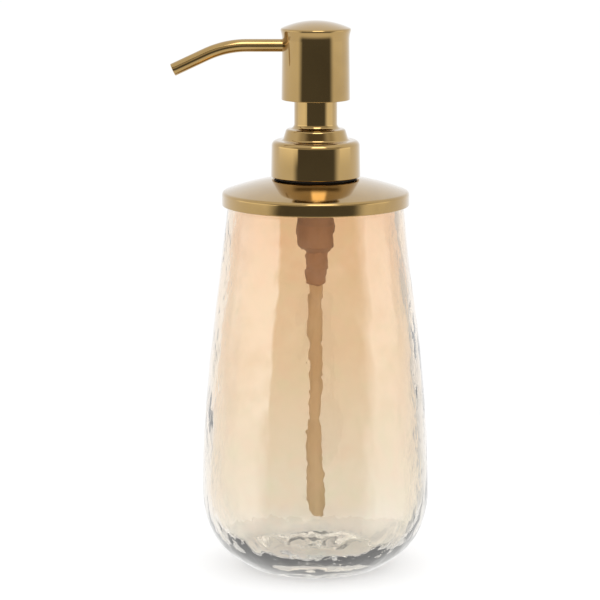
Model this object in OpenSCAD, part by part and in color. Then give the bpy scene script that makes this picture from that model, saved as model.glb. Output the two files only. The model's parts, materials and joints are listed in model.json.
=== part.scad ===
// Soap pump dispenser: a hammered glass bottle with a domed brass lid, and a screw-on lotion pump
// in the lid. Millimetres, +Z up, the origin at the centre of the glass base. The spout points
// along -X. The head is drawn up, as the return spring holds it, and the screw cap is tight.

/* [Bottle] */
// Height of the glass from the base to its lip
glass_h = 128.6; // [105:0.1:156]
// Largest outer radius of the glass
belly_r = 39.4; // [34:0.1:48]
// Height of the largest radius
belly_z = 28; // [23:0.5:36]
// Outer radius of the glass at the lip
lip_r = 30.3; // [28.5:0.1:34]
// Height of the straight band below the lip
lip_band_h = 3; // [2:0.5:6]
// Radius of the flat that the bottle stands on
foot_r = 22.4; // [20:0.1:27]
// Thickness of the glass wall
glass_wall = 3; // [2:0.1:4]
// Thickness of the glass base at its centre
base_t = 6; // [5:0.5:12]
// Radius of the flat inside the base
floor_r = 17; // [12:0.5:19]

/* [Lid] */
// Thickness of the brass plate
lid_t = 0.8; // [0.6:0.1:1.2]
// Height of the plate's rim, up to where the dome begins
rim_h = 4.5; // [3.5:0.1:6]
// How far the rim reaches below the glass lip
rim_drop = 2.2; // [1.5:0.1:3.5]
// Rise of the dome above the rim
dome_rise = 5.9; // [4.5:0.1:7.5]
// Radius of the rounded edge between rim and dome
rim_round = 1.3; // [1:0.1:2]
// Thickness of the soft seal on the glass lip
seal_t = 0.8; // [0.6:0.1:1.2]
// Thickness of the seal between the glass and the rim
seal_wall = 1; // [0.8:0.1:1.4]
// How far the seal and the plug reach into the mouth
plug_depth = 2.2; // [1.5:0.1:4]
// Wall of the plastic plug
plug_wall = 1.5; // [1:0.1:2.5]
// How far the plug's underside rises from its rim to the neck
plug_rise = 3.2; // [2:0.1:4]

/* [Neck and screw cap] */
// Outer diameter of the neck's thread
thread_d = 27; // [24:0.1:33]
// Rise of the thread in one turn
pitch = 4.23; // [3:0.01:5]
// Height of the thread ridge
thread_h = 1; // [0.8:0.1:1.2]
// Number of turns of each ridge
thread_turns = 1.25; // [1:0.05:1.5]
// Height of the brass cap from its lower edge to the ledge
cap_h = 12.5; // [11:0.1:16]
// Gap between the cap's lower edge and the dome
cap_gap = 0.75; // [0.5:0.05:1.2]
// Thickness of the brass cap and sleeve
shell_t = 0.6; // [0.4:0.05:0.7]
// Wall of the plastic screw cap inside the brass one
closure_wall = 0.7; // [0.6:0.05:1.2]
// How much the brass cap widens towards its lower edge
cap_flare = 0.25; // [0:0.05:0.5]
// Radius of the cap's upper edge
cap_round = 1.9; // [1.5:0.1:2.5]
// Outer radius of the shoulder band at its foot
band_r = 11.25; // [10.8:0.05:12.6]
// Height of the shoulder band
band_h = 3.9; // [3:0.1:5]
// How much the band narrows towards its top
band_taper = 1.2; // [0.4:0.1:1.4]
// Outer radius of the fixed sleeve
sleeve_r = 7.35; // [6.6:0.05:8.4]
// Thickness of the gasket on the neck
gasket_t = 0.8; // [0.5:0.1:1.2]
// Thickness of the pump's flange
flange_t = 1.1; // [0.8:0.1:1.6]
// Thickness of the screw cap's top web
web_t = 1.05; // [0.8:0.05:1.6]

/* [Pump] */
// Travel of the head
stroke = 9; // [7.5:0.1:11]
// Bore of the barrel
barrel_bore_d = 10.7; // [9.6:0.1:12.9]
// Wall of the barrel
barrel_wall = 1; // [0.8:0.1:1.4]
// Outer diameter of the stem
stem_d = 7.6; // [6.4:0.1:9.2]
// Diameter of the two valve balls
ball_d = 4; // [3.4:0.1:4.8]
// Lift of each valve ball
ball_lift = 1.1; // [0.8:0.1:1.5]
// Outer diameter of the dip tube
tube_d = 5.1; // [3.6:0.1:5.8]
// Bore of the dip tube
tube_bore_d = 3.7; // [2.4:0.1:4.2]
// Length of the socket that grips the dip tube
socket_depth = 8; // [6:0.5:12]
// Gap between the dip tube and the glass floor
tube_gap = 10.5; // [3:0.5:12]
// Wire of the return spring
wire_d = 0.7; // [0.5:0.05:0.85]
// Turns of the return spring
spring_turns = 8.5; // [7:0.5:10]
// Height of the piston seal
piston_h = 6.8; // [5.5:0.1:9]
// Depth to which the lock ring reaches into the barrel
ring_depth = 10; // [8:0.5:14]
// Height of the stem's guide above the barrel
guide_h = 9.5; // [6:0.1:10]

/* [Head and spout] */
// Outer radius of the head at its lower edge
head_r = 11.75; // [11:0.05:14.1]
// How much the head narrows towards the flare
head_taper = 0.3; // [0:0.05:0.5]
// Thickness of the brass head
head_t = 0.7; // [0.5:0.05:1]
// How much the lip stands out from the top of the taper
lip_flare = 0.55; // [0.2:0.05:0.8]
// Height of the flare under the lip
flare_h = 3.4; // [2:0.1:4.5]
// Rise of the head's domed top
top_rise = 2.7; // [2:0.1:3.5]
// Radius of the rounded edge around that top
top_round = 1; // [0.8:0.1:1.4]
// Overlap of head and sleeve when the head is up
sleeve_overlap = 2.9; // [2:0.1:5]
// Height from the spout's axis to the top of the head
spout_to_top = 8.5; // [8:0.1:11]
// Outer diameter of the spout
spout_d = 4.4; // [3.6:0.1:5.3]
// Wall of the spout
spout_wall = 0.6; // [0.4:0.05:0.8]
// Distance from the pump's axis to the spout's bend
spout_run = 23.4; // [19:0.1:30]
// Radius of the spout's bend
bend_r = 33; // [20:1:45]
// Angle of the spout's bend
bend_angle = 25; // [15:1:40]
// Straight length after the bend
spout_tip = 12.4; // [8:0.1:20]

/* [Hidden] */

// Clearances
slide_gap = 0.05;    // radial, between parts that slide or turn in one another
free_gap = 0.5;      // radial, between moving parts that never touch
end_gap = 0.1;       // axial, between parts that turn against one another
stop_gap = 0.7;      // axial, what is left at the end of the stroke
thread_gap = 0.25;   // radial, between the two threads
cut = 1;             // how far a cutting shape runs past the solid

// Small fixed sizes of the lid and the screw cap
seal_inset = 0.6;         // from the rim's lower edge up to the seal
disc_gap = 0.3;           // from the insert's disc to the rounded edge of the plate
closure_inset = 0.6;      // from the brass cap's lower edge up to the plastic one
neck_wall_room = 3.8;     // radial, around the barrel inside the neck
flange_inset = 0.2;       // radial, from the neck's side to the flange
thread_top_room = 1.3;    // from the neck's top down to the middle of the ridge
thread_foot_w = 1.9;
thread_tip_w = 1;
ridge_sunk = 0.3;         // how far a ridge's foot is sunk into its wall
ridge_step = 10;          // degrees between the sections of a ridge
band_foot_round = 1.1;
band_round_share = 0.4;    // of the band's flat top
sleeve_round_share = 0.65; // of the band's flat top
sleeve_top_round = 0.2;
band_inner_round = 0.4;

// Small fixed sizes of the pump
stem_wall = 0.9;          // of the stem's thin end, and of the plunger inside it
ball_gap = 0.3;           // radial, around a valve ball in its chamber
ball_top_gap = 0.15;      // above a lifted valve ball
orifice_share = 0.65;     // radius of a valve's orifice, as a share of the ball's
orifice_t = 1;            // depth of a valve's orifice
socket_wall = 1.05;
socket_lead = [0.5, 1.2]; // bevel at the socket's lower end
cone_top = 0.8;           // from the barrel's floor down to the cone under it
cone_h = 2;
vent_r = 0.4;
vent_drop = 0.7;          // from the piston's top down to the vent
ring_flange_t = 1.4;
ring_round = 0.5;
guide_round = 0.6;
lip_h = 1.2;              // straight part of a piston lip
lip_slope = 1;
lip_depth = 0.7;          // from the piston's lip to its waist
collar_t = 1;
collar_gap = 0.45;        // radial, from the collar to the barrel
spigot_h = 9;
spigot_round = 0.3;
rod_round = 0.5;
rod_gap = 1;              // radial, from the rod to the spring
spring_gap = 0.75;        // radial, from the spring to the barrel
spring_spare = 1.25;      // what is left of the spring's gaps at the end of the stroke
wire_step = 15;           // degrees between the sections of the wire
wire_sides = 8;
cage_t = 1;
slot_w = 1;
slot_reach = 0.6;         // how far a cage slot runs past the chamber under it

// Small fixed sizes of the head
head_stop_gap = 0.9;      // from the pressed head to the shoulder band
spout_rise = 5.8;         // from the hub's underside to the spout's axis
stem_top_gap = 0.8;       // from the stem's end to the spout's bore
spout_in_x = -3.4;        // where the spout ends inside the hub
core_over = 1.2;          // hub above the spout
boss_round = 0.5;

// Handles of the curves that shape the glass
foot_handle = [9.5, 5.2];
belly_share = 0.4;        // of the belly's height
flank_share = 0.35;       // of the flank's height
neck_handle = [1.8, 21];
floor_handle = 12;
floor_share = 0.32;       // of the height from the floor to the belly

// Levels of the lid
seat_z = glass_h + seal_t;
rim_low_z = glass_h - rim_drop;
edge_z = rim_low_z + rim_h;
lid_r = lip_r + seal_wall + lid_t;
lid_top_z = edge_z + dome_rise;
mouth_r = lip_r - glass_wall;
plug_r = mouth_r - seal_wall;

// Radii of the neck and the screw cap
thread_r = thread_d / 2;
neck_r = thread_r - thread_h;
closure_bore_r = thread_r + thread_gap;
closure_r = closure_bore_r + closure_wall;
cap_r = closure_r + shell_t;
lid_hole_r = thread_r + free_gap;

// Levels of the screw cap, from the dome upwards
cap_low_z = dome_z(cap_r + cap_flare) + cap_gap;
ledge_z = cap_low_z + cap_h;
band_top_z = ledge_z + band_h;
web_top_z = ledge_z - shell_t;
web_low_z = web_top_z - web_t;
flange_top_z = web_low_z - slide_gap;
flange_low_z = flange_top_z - flange_t;
neck_top_z = flange_low_z - gasket_t;
closure_low_z = cap_low_z + closure_inset;
thread_low_z = neck_top_z - thread_top_room - thread_turns * pitch;

// Radii of the pump
bore_r = barrel_bore_d / 2;
barrel_r = bore_r + barrel_wall;
neck_bore_r = barrel_r + neck_wall_room;
flange_r = neck_r - flange_inset;
web_hole_r = barrel_r + slide_gap;
stem_r = stem_d / 2;
piston_pin_r = stem_r - stem_wall;
stem_bore_r = piston_pin_r - stem_wall;
ball_r = ball_d / 2;
chamber_r = ball_r + ball_gap;
orifice_r = ball_r * orifice_share;
socket_r = max(chamber_r, tube_d / 2) + socket_wall;
ring_flange_r = band_r - band_taper - shell_t - free_gap;
guide_r = sleeve_r - shell_t - free_gap;

// Levels of the pump, from the cap downwards
housing_top_z = web_top_z + end_gap;
ring_low_z = housing_top_z - ring_depth;
guide_top_z = housing_top_z + guide_h;
piston_top_z = ring_low_z - 2 * end_gap;
piston_low_z = piston_top_z - piston_h;
shoulder_z = piston_top_z + end_gap;
collar_top_z = piston_low_z - end_gap;
collar_low_z = collar_top_z - collar_t;
spring_solid = wire_d * spring_turns;
spring_len = spring_solid + stroke + spring_spare;
spring_low_z = collar_low_z - spring_len;
floor_z = spring_low_z - cage_t;
rod_low_z = spring_low_z + stroke + stop_gap;
spigot_top_z = collar_top_z + spigot_h;

// A ball rests where the 45 degree seat touches it
contact_r = ball_r * cos(45);
seat_to_centre = contact_r - orifice_r + contact_r;
inlet_ball_z = floor_z - ball_lift - ball_top_gap - ball_r;
inlet_seat_z = inlet_ball_z - seat_to_centre;
inlet_orifice_z = inlet_seat_z - orifice_t;
housing_low_z = inlet_orifice_z - socket_depth;
vent_z = piston_top_z - vent_drop;

// Levels of the head, from the cap upwards
head_low_z = band_top_z + stroke + head_stop_gap;
sleeve_top_z = head_low_z + sleeve_overlap;
core_low_z = sleeve_top_z + stroke + stop_gap;
boss_low_z = guide_top_z + stroke + stop_gap;
boss_r = guide_r - free_gap;
spout_r = spout_d / 2;
spout_z = core_low_z + spout_rise;
stem_top_z = spout_z - spout_r - stem_top_gap;
outlet_ball_z = stem_top_z - ball_lift - ball_top_gap - ball_r;
outlet_seat_z = outlet_ball_z - seat_to_centre;
waist_r = head_r - head_taper;
core_r = waist_r - head_t;
core_top_z = spout_z + spout_r + core_over;
head_top_z = spout_z + spout_to_top;

$fn = 96;

// Radius of the sphere whose cap of radius r has the given rise
function sphere_of(r, rise) = (r * r + rise * rise) / (2 * rise);

// Height of the lid's dome at the distance r from the axis
function dome_z(r) = let (curve_r = sphere_of(lid_r, dome_rise))
  lid_top_z - curve_r + sqrt(curve_r * curve_r - r * r);

// Level at which the rounded edge of a domed top is widest
function edge_level(r, top, rise, round) = let (curve_r = sphere_of(r, rise))
  top - curve_r + sqrt(pow(curve_r - round, 2) - pow(r - round, 2));

// Points along a cubic curve, from its point number first
function curve(a, b, c, d, n = 14, first = 0) = [for (i = [first:n]) let (t = i / n, s = 1 - t)
  s * s * s * a + 3 * s * s * t * b + 3 * s * t * t * c + t * t * t * d];

// Arc of radius f that rounds the corner b between the points a and c
function corner(a, b, c, f, n = 5) =
  let (u = (a - b) / norm(a - b), v = (c - b) / norm(c - b), half = acos(u * v) / 2,
    centre = b + (u + v) / norm(u + v) * f / sin(half),
    start = b + u * f / tan(half) - centre,
    turn = (u.x * v.y - u.y * v.x > 0 ? -1 : 1) * (180 - 2 * half))
  [for (i = [0:n]) let (t = turn * i / n)
    centre + [start.x * cos(t) - start.y * sin(t), start.x * sin(t) + start.y * cos(t)]];

// Outline through corners given as [radius, height, rounding]
function outline(p) = [for (i = [0:len(p) - 1])
  let (k = len(p), a = p[(i + k - 1) % k], b = p[i], c = p[(i + 1) % k])
  each (b[2] == 0 ? [[b.x, b.y]] : corner([a.x, a.y], [b.x, b.y], [c.x, c.y], b[2]))];

// Solid of revolution with the given outline
module turned(points) {
  rotate_extrude() polygon(outline(points));
}

// Tube between two levels
module tube(outer_r, inner_r, low, high) {
  difference() {
    translate([0, 0, low]) cylinder(r = outer_r, h = high - low);
    translate([0, 0, low - cut]) cylinder(r = inner_r, h = high - low + 2 * cut);
  }
}

// Half section of a cylinder with a domed top and a rounded edge, from the level low up to the level
// top. The depth shrinks it evenly, for the face at that depth inside a sheet.
module domed_area(r, low, top, rise, round, depth = 0) {
  in_r = r - depth;
  in_round = round - depth;
  curve_r = sphere_of(r, rise) - depth;
  centre_z = top - depth - curve_r;
  round_x = in_r - in_round;
  round_z = edge_level(r, top, rise, round);
  touch_x = round_x * curve_r / (curve_r - in_round);
  intersection() {
    translate([0, centre_z]) circle(r = curve_r, $fn = 360);
    translate([0, low]) square([touch_x, top - low]);
  }
  translate([round_x, round_z]) circle(r = in_round);
  translate([0, low]) square([in_r, round_z - low]);
}

// The same for the lid
module lid_area(depth, low) {
  domed_area(lid_r, low, lid_top_z, dome_rise, rim_round, depth);
}

// Helical ridge of a right-hand thread. It stands on the radius foot, points to the radius tip, and
// fades out over its first and last eighth of a turn.
module thread_ridge(foot, tip) {
  steps = round(thread_turns * 360 / ridge_step);
  sunk = foot + ridge_sunk * sign(foot - tip);
  sections = [for (i = [0:steps])
    let (angle = i * ridge_step, fade = min(1, min(i, steps - i) * ridge_step / 45),
      r = foot + (tip - foot) * (0.1 + 0.9 * fade), z = thread_low_z + pitch * angle / 360)
    for (p = [[sunk, -thread_foot_w / 2], [r, -thread_tip_w / 2], [r, thread_tip_w / 2],
      [sunk, thread_foot_w / 2]])
      [p[0] * cos(angle), p[0] * sin(angle), z + p[1]]];
  sides = [for (i = [0:steps - 1], j = [0:3])
    [4 * i + j, 4 * i + (j + 1) % 4, 4 * i + 4 + (j + 1) % 4, 4 * i + 4 + j]];
  ends = [[3, 2, 1, 0], [for (j = [0:3]) 4 * steps + j]];
  flip = foot > tip;
  faces = [for (f = concat(sides, ends)) flip ? [for (k = [3:-1:0]) f[k]] : f];
  polyhedron(points = sections, faces = faces, convexity = 6);
}

// Side of the glass from the belly, at the radius low_r, up to the band under the lip
function flank(low_r, top_r) = let (top = glass_h - lip_band_h)
  curve([low_r, belly_z], [low_r, belly_z + flank_share * (top - belly_z)],
    [top_r + neck_handle[0], top - neck_handle[1]], [top_r, top], first = 1);

// Half of the bottle's outline: from the ring it stands on up to the lip
function glass_outside() = concat(
  curve([foot_r, 0], [foot_r, 0] + foot_handle, [belly_r, belly_z * belly_share], [belly_r, belly_z]),
  flank(belly_r, lip_r));

function glass_inside() = let (r = belly_r - glass_wall) concat(
  curve([floor_r, base_t], [floor_r + floor_handle, base_t],
    [r, base_t + floor_share * (belly_z - base_t)], [r, belly_z]),
  flank(r, mouth_r));

module bottle() {
  color([0.86, 0.7, 0.5, 0.45]) rotate_extrude() difference() {
    polygon(concat([[0, 0]], glass_outside(), [[lip_r, glass_h], [0, glass_h]]));
    polygon(concat([[0, base_t]], glass_inside(), [[mouth_r, glass_h + cut], [0, glass_h + cut]]));
  }
}

// Soft ring that folds over the glass lip: a web on the lip, one wall outside and one inside
module mouth_seal() {
  color([0.9, 0.9, 0.88]) rotate_extrude() {
    translate([plug_r, glass_h]) square([lid_r - lid_t - plug_r, seal_t]);
    translate([lip_r, rim_low_z + seal_inset]) square([seal_wall, rim_drop - seal_inset + seal_t / 2]);
    translate([plug_r, glass_h - plug_depth]) square([seal_wall, plug_depth + seal_t / 2]);
  }
}

// Plug with a sloping top under the dome, and the threaded neck through the lid's hole
module neck_insert() {
  disc_r = lid_r - rim_round - disc_gap;
  slope_low_z = seat_z + plug_rise;
  color([0.93, 0.93, 0.9]) {
    rotate_extrude() intersection() {
      polygon([[neck_bore_r, slope_low_z], [neck_r, slope_low_z], [plug_r - plug_wall, seat_z],
        [plug_r - plug_wall, glass_h - plug_depth], [plug_r, glass_h - plug_depth], [plug_r, seat_z],
        [disc_r, seat_z], [disc_r, lid_top_z], [neck_bore_r, lid_top_z]]);
      lid_area(lid_t, glass_h - plug_depth);
    }
    tube(neck_r, neck_bore_r, slope_low_z, neck_top_z);
    tube(lid_hole_r - end_gap, neck_bore_r, slope_low_z, dome_z(lid_hole_r));
    thread_ridge(neck_r, thread_r);
  }
}

module lid_plate() {
  color([0.72, 0.56, 0.3]) rotate_extrude() difference() {
    lid_area(0, rim_low_z);
    lid_area(lid_t, rim_low_z - cut);
    translate([0, rim_low_z]) square([lid_hole_r, lid_top_z]);
  }
}

module pump_housing() {
  color([0.95, 0.93, 0.88]) difference() {
    turned([[0, housing_low_z, 0], [socket_r - socket_lead[0], housing_low_z, 0],
      [socket_r, housing_low_z + socket_lead[1], 0], [socket_r, floor_z - cone_top - cone_h, 0],
      [barrel_r, floor_z - cone_top, 0], [barrel_r, flange_low_z, 0],
      [flange_r, flange_low_z, 0], [flange_r, flange_top_z, 0], [barrel_r, flange_top_z, 0],
      [barrel_r, housing_top_z, 0], [0, housing_top_z, 0]]);
    turned([[0, housing_low_z - cut, 0], [tube_d / 2, housing_low_z - cut, 0],
      [tube_d / 2, inlet_orifice_z, 0], [orifice_r, inlet_orifice_z, 0], [orifice_r, inlet_seat_z, 0],
      [chamber_r, inlet_seat_z + chamber_r - orifice_r, 0], [chamber_r, floor_z, 0], [bore_r, floor_z, 0],
      [bore_r, housing_top_z + cut, 0], [0, housing_top_z + cut, 0]]);
    translate([0, 0, vent_z]) rotate([0, 90, 0]) cylinder(r = vent_r, h = barrel_r + cut);
  }
}

module neck_gasket() {
  color([0.85, 0.85, 0.85]) tube(flange_r, barrel_r + slide_gap, neck_top_z, flange_low_z);
}

module dip_tube() {
  color([0.92, 0.9, 0.86]) tube(tube_d / 2, tube_bore_d / 2, base_t + tube_gap, inlet_orifice_z);
}

// Disc over the inlet ball, with three slots that let the liquid past a lifted ball
module valve_cage() {
  color([0.9, 0.9, 0.9]) difference() {
    tube(bore_r, orifice_r * 0.8, floor_z, floor_z + cage_t);
    for (turn = [0:120:240]) rotate(turn)
      translate([0, -slot_w / 2, floor_z - cut]) cube([chamber_r + slot_reach, slot_w, cage_t + 2 * cut]);
  }
}

module inlet_ball() {
  color([0.8, 0.8, 0.82]) translate([0, 0, inlet_ball_z]) sphere(r = ball_r);
}

// Round wire wound between the valve cage and the plunger's collar, with one flat turn at each end
module spring() {
  coil_r = bore_r - wire_d / 2 - spring_gap;
  per_turn = 360 / wire_step;
  steps = round(spring_turns * per_turn);
  sides = wire_sides;
  rise = (spring_len - wire_d) - 2 * wire_d;
  wire = [for (i = [0:steps])
    let (turn = i / per_turn, free = max(0, min(1, (turn - 1) / (spring_turns - 2))),
      z = spring_low_z + wire_d / 2 + wire_d * (min(turn, 1) + max(0, turn - spring_turns + 1))
        + rise * free)
    for (j = [0:sides - 1])
      let (r = coil_r + wire_d / 2 * cos(j * 360 / sides))
      [r * cos(turn * 360), r * sin(turn * 360), z + wire_d / 2 * sin(j * 360 / sides)]];
  skin = [for (i = [0:steps - 1], j = [0:sides - 1])
    [sides * i + j, sides * i + (j + 1) % sides, sides * (i + 1) + (j + 1) % sides, sides * (i + 1) + j]];
  ends = [[for (j = [sides - 1:-1:0]) j], [for (j = [0:sides - 1]) sides * steps + j]];
  color([0.75, 0.75, 0.77]) polyhedron(points = wire, faces = concat(skin, ends), convexity = 10);
}

// Ring snapped into the barrel over the screw cap's web. Its bore guides the stem.
module lock_ring() {
  color([0.95, 0.95, 0.93]) difference() {
    turned([[0, ring_low_z, 0], [bore_r, ring_low_z, 0], [bore_r, housing_top_z, 0],
      [ring_flange_r, housing_top_z, 0], [ring_flange_r, housing_top_z + ring_flange_t, ring_round],
      [guide_r, housing_top_z + ring_flange_t, 0], [guide_r, guide_top_z, guide_round],
      [0, guide_top_z, 0]]);
    translate([0, 0, ring_low_z - cut])
      cylinder(r = stem_r + slide_gap, h = guide_top_z - ring_low_z + 2 * cut);
  }
}

// Plastic screw cap. Its ridge starts half a turn round from the neck's, so it lies midway between
// the neck's turns.
module closure() {
  color([0.93, 0.93, 0.9]) {
    tube(closure_r, closure_bore_r, closure_low_z, web_top_z);
    tube(closure_r, web_hole_r, web_low_z, web_top_z);
    rotate(180) thread_ridge(closure_bore_r, neck_r + thread_gap);
  }
}

// Stepped brass shell: skirt, shoulder band and fixed sleeve in one piece
module cap_shell() {
  band_top_r = band_r - band_taper;
  flat_w = band_top_r - sleeve_r;
  color([0.72, 0.56, 0.3]) difference() {
    turned([[0, cap_low_z, 0], [cap_r + cap_flare, cap_low_z, 0], [cap_r, ledge_z, cap_round],
      [band_r, ledge_z, band_foot_round], [band_top_r, band_top_z, band_round_share * flat_w],
      [sleeve_r, band_top_z, sleeve_round_share * flat_w], [sleeve_r, sleeve_top_z, sleeve_top_round],
      [0, sleeve_top_z, 0]]);
    turned([[0, cap_low_z - cut, 0], [closure_r, cap_low_z - cut, 0], [closure_r, web_top_z, 0],
      [band_r - shell_t, web_top_z, 0], [band_top_r - shell_t, band_top_z - shell_t, band_inner_round],
      [sleeve_r - shell_t, band_top_z - shell_t, 0], [sleeve_r - shell_t, sleeve_top_z + cut, 0],
      [0, sleeve_top_z + cut, 0]]);
  }
}

// Two lips that wipe the barrel, with a waist between them
module piston_seal() {
  wipe_r = bore_r - slide_gap;
  thin_r = wipe_r - lip_depth;
  lip_foot = lip_h + lip_slope;
  color([0.25, 0.25, 0.27]) difference() {
    turned([[0, piston_low_z, 0], [wipe_r, piston_low_z, 0], [wipe_r, piston_low_z + lip_h, 0],
      [thin_r, piston_low_z + lip_foot, 0], [thin_r, piston_top_z - lip_foot, 0],
      [wipe_r, piston_top_z - lip_h, 0], [wipe_r, piston_top_z, 0], [0, piston_top_z, 0]]);
    translate([0, 0, piston_low_z - cut])
      cylinder(r = piston_pin_r + slide_gap, h = piston_h + 2 * cut);
  }
}

// Rod inside the spring, the collar that the spring pushes, and a spigot pressed into the stem
module plunger() {
  rod_r = bore_r - spring_gap - wire_d - rod_gap;
  collar_r = bore_r - collar_gap;
  color([0.94, 0.94, 0.92]) difference() {
    turned([[0, rod_low_z, 0], [rod_r, rod_low_z, rod_round], [rod_r, collar_low_z, 0],
      [collar_r, collar_low_z, 0], [collar_r, collar_top_z, 0], [stem_bore_r, collar_top_z, 0],
      [stem_bore_r, spigot_top_z, spigot_round], [0, spigot_top_z, 0]]);
    translate([0, 0, rod_low_z - cut])
      cylinder(r = stem_bore_r - stem_wall, h = spigot_top_z - rod_low_z + 2 * cut);
  }
}

// Hollow stem: a thin end inside the piston, and the outlet valve's seat and chamber at the top
module stem() {
  color([0.94, 0.94, 0.92]) difference() {
    turned([[0, collar_top_z, 0], [piston_pin_r, collar_top_z, 0], [piston_pin_r, shoulder_z, 0],
      [stem_r, shoulder_z, 0], [stem_r, stem_top_z, 0], [0, stem_top_z, 0]]);
    turned([[0, collar_top_z - cut, 0], [stem_bore_r, collar_top_z - cut, 0],
      [stem_bore_r, outlet_seat_z - 1.5 * orifice_t, 0], [orifice_r, outlet_seat_z - orifice_t, 0],
      [orifice_r, outlet_seat_z, 0], [chamber_r, outlet_seat_z + chamber_r - orifice_r, 0],
      [chamber_r, stem_top_z + cut, 0], [0, stem_top_z + cut, 0]]);
  }
}

module outlet_ball() {
  color([0.8, 0.8, 0.82]) translate([0, 0, outlet_ball_z]) sphere(r = ball_r);
}

// Hub pressed into the head, with a boss that grips the stem. The liquid rises past the ball through
// a cross of slots and turns into the spout.
module head_core() {
  color([0.94, 0.94, 0.92]) difference() {
    turned([[0, boss_low_z, 0], [boss_r, boss_low_z, boss_round], [boss_r, core_low_z, 0],
      [core_r, core_low_z, 0], [core_r, core_top_z, 0], [0, core_top_z, 0]]);
    translate([0, 0, boss_low_z - cut]) cylinder(r = stem_r, h = stem_top_z - boss_low_z + cut);
    for (turn = [0, 90]) rotate(turn) translate([-chamber_r, -slot_w / 2, stem_top_z - cut])
      cube([2 * chamber_r, slot_w, spout_z - stem_top_z + cut]);
    translate([0, 0, spout_z]) {
      rotate([0, -90, 0]) cylinder(r = spout_r - spout_wall, h = core_r + cut);
      translate([spout_in_x, 0, 0]) rotate([0, -90, 0]) cylinder(r = spout_r, h = core_r);
    }
  }
}

// Brass head: a slightly tapered wall, a flared lip and a domed top
module head_shell() {
  lip_out_r = waist_r + lip_flare;
  lip_z = edge_level(lip_out_r, head_top_z, top_rise, top_round);
  color([0.72, 0.56, 0.3]) difference() {
    rotate_extrude() {
      polygon(concat([[0, head_low_z], [head_r, head_low_z]],
        curve([waist_r, lip_z - flare_h], [waist_r, lip_z - flare_h / 2], [lip_out_r - 0.1, lip_z - 0.5],
          [lip_out_r, lip_z], 6), [[0, lip_z]]));
      domed_area(lip_out_r, lip_z - 0.01, head_top_z, top_rise, top_round);
    }
    translate([0, 0, head_low_z - cut]) cylinder(r = core_r, h = core_top_z - head_low_z + cut);
    rotate_extrude() intersection() {
      domed_area(lip_out_r, core_top_z - cut, head_top_z, top_rise, top_round, head_t);
      square([core_r, head_top_z]);
    }
    translate([cut - core_r, 0, spout_z]) rotate([0, -90, 0]) cylinder(r = spout_r, h = head_r);
  }
}

module spout() {
  color([0.74, 0.58, 0.32]) translate([0, 0, spout_z]) spout_path() difference() {
    circle(r = spout_r);
    circle(r = spout_r - spout_wall);
  }
}

// Carries a flat section along the spout: straight out, round the bend, and down the tip
module spout_path() {
  translate([spout_in_x, 0, 0]) rotate([0, -90, 0]) linear_extrude(spout_run + spout_in_x) children();
  translate([-spout_run, 0, -bend_r]) {
    rotate([90, 0, 0]) rotate(90) rotate_extrude(angle = bend_angle) translate([bend_r, 0]) children();
    rotate([0, -bend_angle, 0]) translate([0, 0, bend_r]) rotate([0, -90, 0])
      linear_extrude(spout_tip) children();
  }
}

bottle();
mouth_seal();
neck_insert();
lid_plate();
pump_housing();
neck_gasket();
dip_tube();
valve_cage();
inlet_ball();
spring();
lock_ring();
closure();
cap_shell();
piston_seal();
plunger();
stem();
outlet_ball();
head_core();
head_shell();
spout();
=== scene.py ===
"""Soap pump dispenser: the finished pieces, their materials, a small studio and the camera."""
import json
import logging
import math
from dataclasses import dataclass
from enum import Enum
from typing import Any, Iterable, Sequence

import bpy
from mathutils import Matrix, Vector


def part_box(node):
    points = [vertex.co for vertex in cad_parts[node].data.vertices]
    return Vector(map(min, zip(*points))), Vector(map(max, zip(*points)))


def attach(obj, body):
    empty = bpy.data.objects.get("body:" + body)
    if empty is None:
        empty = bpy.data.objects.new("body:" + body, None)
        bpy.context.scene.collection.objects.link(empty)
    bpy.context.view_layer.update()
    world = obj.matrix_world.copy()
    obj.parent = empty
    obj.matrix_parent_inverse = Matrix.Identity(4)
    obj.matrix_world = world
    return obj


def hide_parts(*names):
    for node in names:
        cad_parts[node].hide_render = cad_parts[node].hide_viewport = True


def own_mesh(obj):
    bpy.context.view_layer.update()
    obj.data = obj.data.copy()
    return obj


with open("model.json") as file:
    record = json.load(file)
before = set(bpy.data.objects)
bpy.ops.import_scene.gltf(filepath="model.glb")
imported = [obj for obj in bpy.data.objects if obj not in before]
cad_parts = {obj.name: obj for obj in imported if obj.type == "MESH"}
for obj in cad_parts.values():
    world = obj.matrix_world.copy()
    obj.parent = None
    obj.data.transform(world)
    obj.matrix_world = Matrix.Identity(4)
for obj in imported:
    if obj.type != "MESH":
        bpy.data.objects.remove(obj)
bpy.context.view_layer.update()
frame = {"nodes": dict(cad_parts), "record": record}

MM = 0.001
FULL_TURN = 2 * math.pi
FEW_STOPS = 8

Point = tuple[float, float]
Corner = tuple[float, float, float]
Colour = tuple[float, float, float]

log = logging.getLogger("soap_pump")


class Body(Enum):
    """The bodies that pieces ride on."""

    BOTTLE = "bottle"
    PUMP = "pump"
    CAP = "cap"
    HEAD = "head"


class Slot(Enum):
    """The record's material slots."""

    GLASS = "amber_glass"
    DARK = "dark_plastic"
    BRASS = "polished_brass"
    NATURAL = "natural_plastic"
    WHITE = "white_plastic"
    SEAL = "soft_seal"
    RUBBER = "piston_rubber"
    STEEL = "steel"


# ---------------------------------------------------------------------------------------------
# Shader sheets
# ---------------------------------------------------------------------------------------------


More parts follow.
